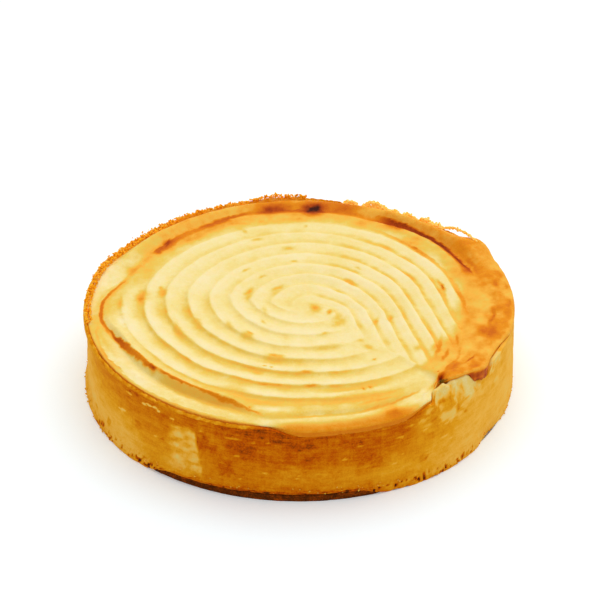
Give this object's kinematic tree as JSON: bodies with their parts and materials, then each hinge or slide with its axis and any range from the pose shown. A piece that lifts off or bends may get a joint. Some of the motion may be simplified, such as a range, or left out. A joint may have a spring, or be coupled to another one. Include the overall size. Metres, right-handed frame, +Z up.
{
  "type": "baked cheesecake",
  "caption": "Whole round baked cheesecake: a browned shortcrust base and wall round a cream filling, its top combed into a spiral and toasted along the rim.",
  "frame": {"origin": "centre of the underside, on the surface that the cake stands on", "axes": "+Z up through the top of the cake; -Y towards the front, where the rim sags over the wall; +X towards the wide browned skin"},
  "size_m": [0.2614, 0.2614, 0.0566],
  "materials": {
    "browned_base": "dry, dark brown shortcrust baked against the tin's floor",
    "golden_shortcrust": "dry golden shortcrust baked against the tin's side, matt and slightly rough",
    "baked_filling": "smooth baked cheese cream, satin, toasted orange to brown on its raised edges"
  },
  "bodies": {
    "root": {"pastry_base": "browned_base", "pastry_wall": "golden_shortcrust", "cheese_filling": "baked_filling"}
  },
  "joints": []
}
